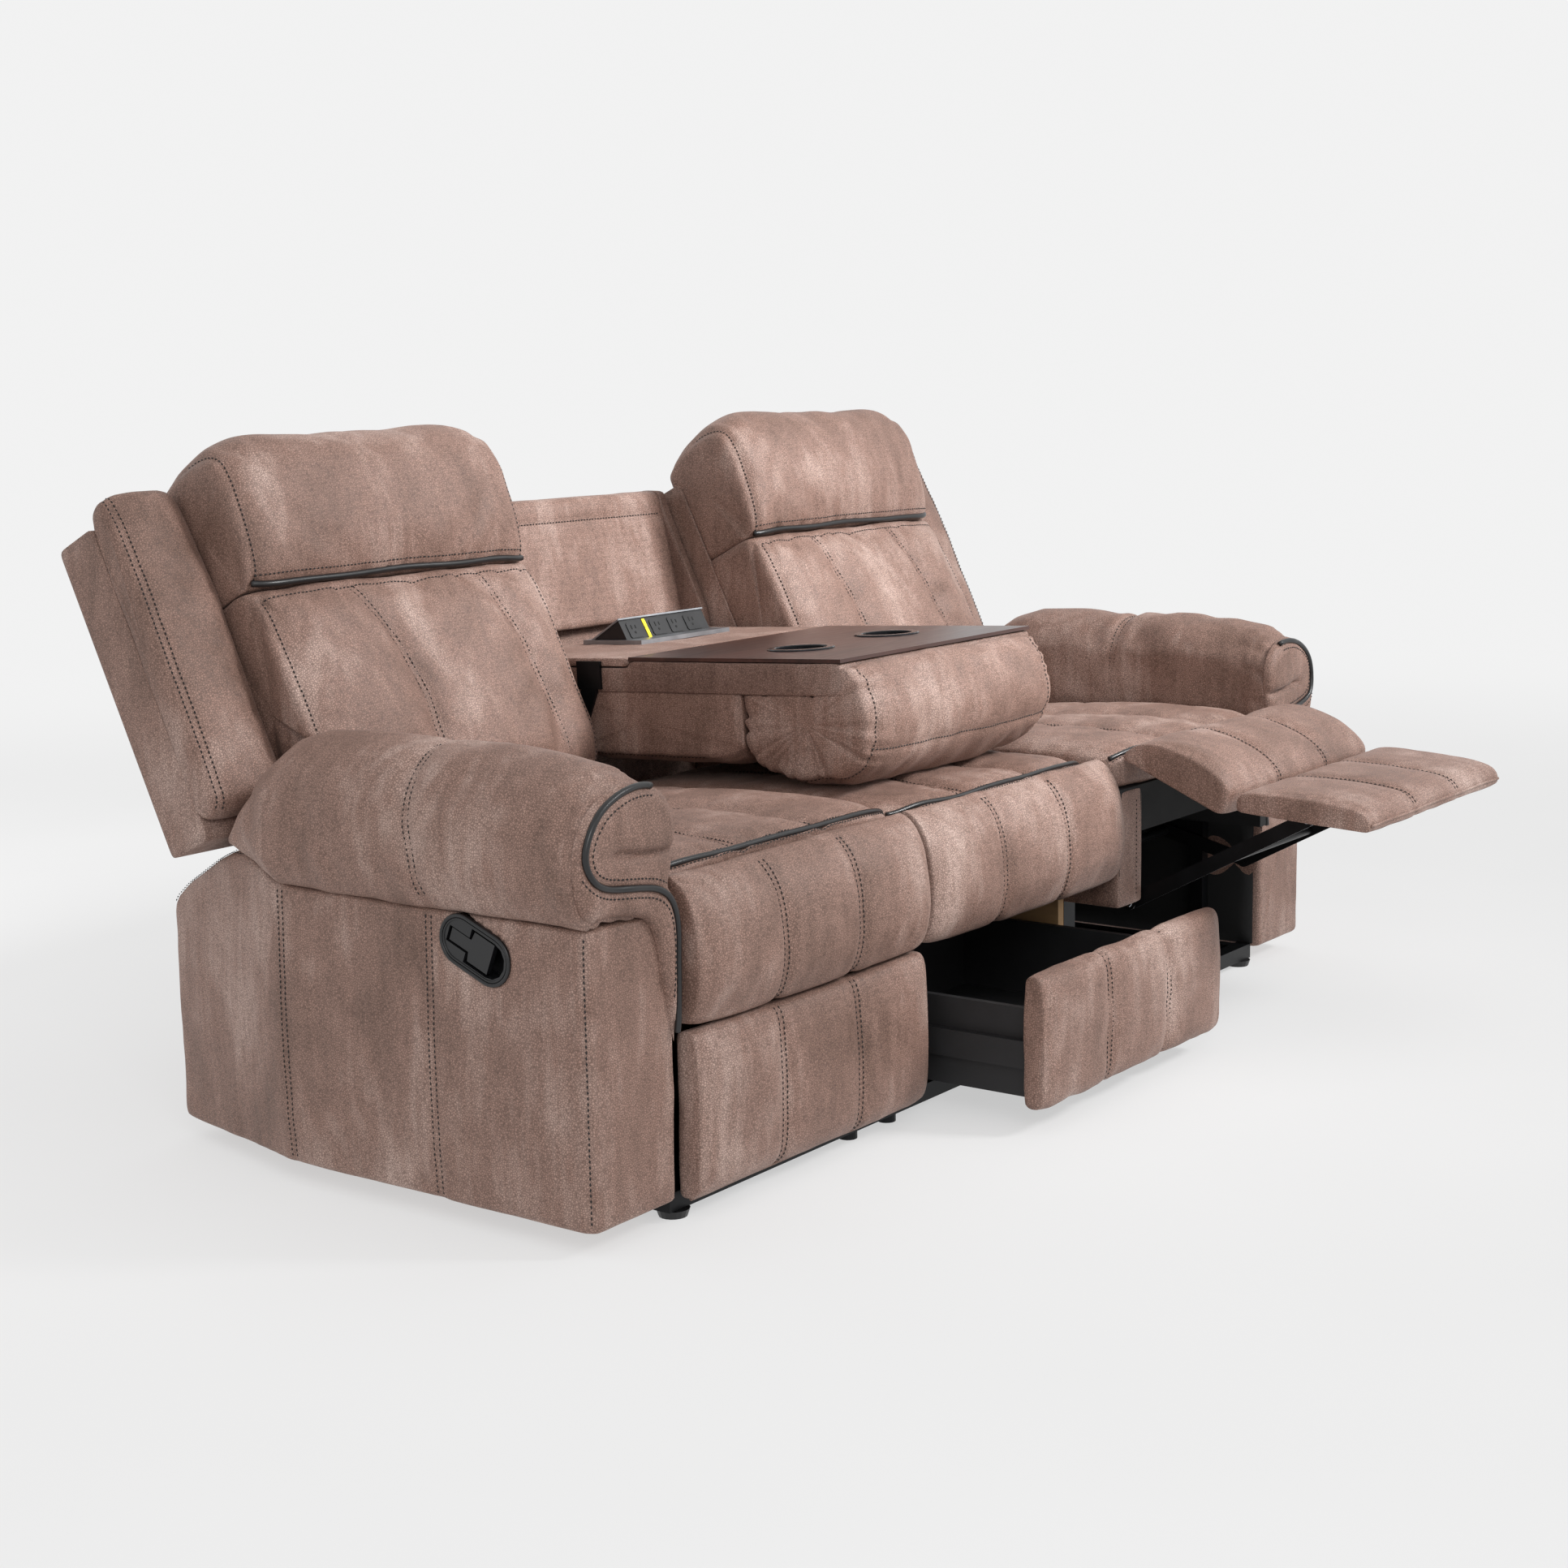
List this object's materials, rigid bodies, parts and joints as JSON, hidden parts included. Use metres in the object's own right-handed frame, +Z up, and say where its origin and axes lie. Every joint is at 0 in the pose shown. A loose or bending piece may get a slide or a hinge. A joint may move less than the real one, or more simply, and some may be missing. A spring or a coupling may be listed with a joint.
{
  "type": "reclining sofa with drop down console",
  "caption": "Upholstered sofa with rolled arms, a reclining seat and fold-out footrest at each end, and a fold-down console with cup wells, outlet and drawer between them.",
  "frame": {"origin": "middle of the floor plan at rest, at floor level", "axes": "+X to the sitter-facing viewer's right across the sofa, +Y from front to back, +Z up"},
  "size_m": [2.2612, 1.537, 1.1073],
  "materials": {
    "leather": "mottled taupe-brown pebbled microfibre leather with dark stitching",
    "black_plastic": "fine-grained black moulded plastic",
    "black_steel": "satin black paint",
    "bright_steel": "bright plated steel",
    "plywood": "bare plywood",
    "black_board": "black faced board",
    "laminate": "dark walnut laminate",
    "silver_trim": "satin silver"
  },
  "bodies": {
    "base": {"front_rail": "black_steel", "rear_rail": "leather", "centre_seat_box": "plywood", "centre_seat_cushion": "leather", "centre_front_pad": "leather", "centre_back_panel": "leather", "console_mount": "black_steel", "left_arm_frame": "leather", "left_arm_pad": "leather", "left_arm_front_panel": "leather", "left_lever_bezel": "black_plastic", "left_front_foot": "black_plastic", "left_rear_foot": "black_plastic", "left_base_rails": "black_steel", "left_drawer_slide": "bright_steel", "right_arm_frame": "leather", "right_arm_pad": "leather", "right_arm_front_panel": "leather", "right_lever_bezel": "black_plastic", "right_front_foot": "black_plastic", "right_rear_foot": "black_plastic", "right_base_rails": "black_steel", "right_drawer_slide": "bright_steel"},
    "left_seat": {"left_seat_frame": "leather", "left_seat_cushion": "leather"},
    "left_chaise": {"left_chaise_pad": "leather"},
    "left_footrest": {"left_footrest_pad": "leather", "left_footrest_bracket": "black_steel"},
    "left_lower_linkage": {"left_lower_link": "black_steel"},
    "left_upper_linkage": {"left_upper_link": "black_steel"},
    "left_back": {"left_back_frame": "leather", "left_back_wing": "leather", "left_lumbar_cushion": "leather", "left_head_pillow": "leather"},
    "left_lever": {"left_release_lever": "black_plastic"},
    "right_seat": {"right_seat_frame": "leather", "right_seat_cushion": "leather"},
    "right_chaise": {"right_chaise_pad": "leather"},
    "right_footrest": {"right_footrest_pad": "leather", "right_footrest_bracket": "black_steel"},
    "right_lower_linkage": {"right_lower_link": "black_steel"},
    "right_upper_linkage": {"right_upper_link": "black_steel"},
    "right_back": {"right_back_frame": "leather", "right_back_wing": "leather", "right_lumbar_cushion": "leather", "right_head_pillow": "leather"},
    "right_lever": {"right_release_lever": "black_plastic"},
    "console": {"console_frame": "leather", "console_top": "laminate", "console_cushion": "leather", "console_pillow": "leather", "console_ledge": "leather", "outlet_frame": "silver_trim", "left_cup_holder": "bright_steel", "right_cup_holder": "bright_steel", "left_console_hinge": "black_steel", "right_console_hinge": "black_steel"},
    "outlet": {"outlet_box": "black_plastic"},
    "drawer": {"drawer_box": "black_board", "drawer_front": "leather"}
  },
  "joints": [
    {"name": "left_seat_slide", "type": "slide", "parent": "base", "child": "left_seat", "axis": [0, -1, 0], "range_m": [0, 0.05001]},
    {"name": "left_chaise_fold", "type": "hinge", "parent": "left_seat", "child": "left_chaise", "pos_m": [0, -0.24649, 0.498], "axis": [-1, 0, 0], "range_deg": [0, 66]},
    {"name": "left_footrest_fold", "type": "hinge", "parent": "left_chaise", "child": "left_footrest", "pos_m": [0, -0.30279, 0.2755], "axis": [-1, 0, 0], "range_deg": [0, 20.01]},
    {"name": "left_lower_link_turn", "type": "hinge", "parent": "left_seat", "child": "left_lower_linkage", "pos_m": [0, 0.01451, 0.275], "axis": [-1, 0, 0], "range_deg": [0, 101.45]},
    {"name": "left_upper_link_turn", "type": "hinge", "parent": "left_lower_linkage", "child": "left_upper_linkage", "pos_m": [0, 0.11633, 0.05877], "axis": [1, 0, 0], "range_deg": [0, 91.79]},
    {"name": "left_back_recline", "type": "hinge", "parent": "base", "child": "left_back", "pos_m": [0, 0.50951, 0.43], "axis": [-1, 0, 0], "range_deg": [0, 25]},
    {"name": "left_lever_pull", "type": "hinge", "parent": "base", "child": "left_lever", "pos_m": [-1.1015, -0.03614, 0.42551], "axis": [0, 0.3746, -0.9272], "range_deg": [0, 30], "stiffness_Nm_per_rad": 0.4},
    {"name": "right_seat_slide", "type": "slide", "parent": "base", "child": "right_seat", "axis": [0, -1, 0], "range_m": [-0.05001, 0]},
    {"name": "right_chaise_fold", "type": "hinge", "parent": "right_seat", "child": "right_chaise", "pos_m": [0, -0.29649, 0.498], "axis": [-1, 0, 0], "range_deg": [-66, 0]},
    {"name": "right_footrest_fold", "type": "hinge", "parent": "right_chaise", "child": "right_footrest", "pos_m": [0, -0.52265, 0.45893], "axis": [-1, 0, 0], "range_deg": [-20.01, 0]},
    {"name": "right_lower_link_turn", "type": "hinge", "parent": "right_seat", "child": "right_lower_linkage", "pos_m": [0, -0.03549, 0.275], "axis": [-1, 0, 0], "range_deg": [-101.45, 0]},
    {"name": "right_upper_link_turn", "type": "hinge", "parent": "right_lower_linkage", "child": "right_upper_linkage", "pos_m": [0, -0.26761, 0.21809], "axis": [1, 0, 0], "range_deg": [-91.79, 0]},
    {"name": "right_back_recline", "type": "hinge", "parent": "base", "child": "right_back", "pos_m": [0, 0.50951, 0.43], "axis": [-1, 0, 0], "range_deg": [0, 25]},
    {"name": "right_lever_pull", "type": "hinge", "parent": "base", "child": "right_lever", "pos_m": [1.1015, -0.03614, 0.42551], "axis": [0, -0.3746, 0.9272], "range_deg": [0, 30], "stiffness_Nm_per_rad": 0.4},
    {"name": "console_raise", "type": "hinge", "parent": "base", "child": "console", "pos_m": [0, 0.42151, 0.59], "axis": [-1, 0, 0], "range_deg": [0, 112.4]},
    {"name": "outlet_close", "type": "hinge", "parent": "console", "child": "outlet", "pos_m": [0, 0.58067, 0.69881], "axis": [1, 0, 0], "range_deg": [0, 30]},
    {"name": "drawer_slide", "type": "slide", "parent": "base", "child": "drawer", "axis": [0, 1, 0], "range_m": [-0.08, 0.203]}
  ],
  "couplings": [
    {"joint": "left_seat_slide", "follows": "left_chaise_fold", "m_per_rad": 0.043406},
    {"joint": "left_footrest_fold", "follows": "left_chaise_fold", "ratio": 0.30303},
    {"joint": "left_lower_link_turn", "follows": "left_chaise_fold", "ratio": 1.5369},
    {"joint": "left_upper_link_turn", "follows": "left_chaise_fold", "ratio": 1.3906},
    {"joint": "right_seat_slide", "follows": "right_chaise_fold", "m_per_rad": 0.043406},
    {"joint": "right_footrest_fold", "follows": "right_chaise_fold", "ratio": 0.30303},
    {"joint": "right_lower_link_turn", "follows": "right_chaise_fold", "ratio": 1.5369},
    {"joint": "right_upper_link_turn", "follows": "right_chaise_fold", "ratio": 1.3906}
  ]
}
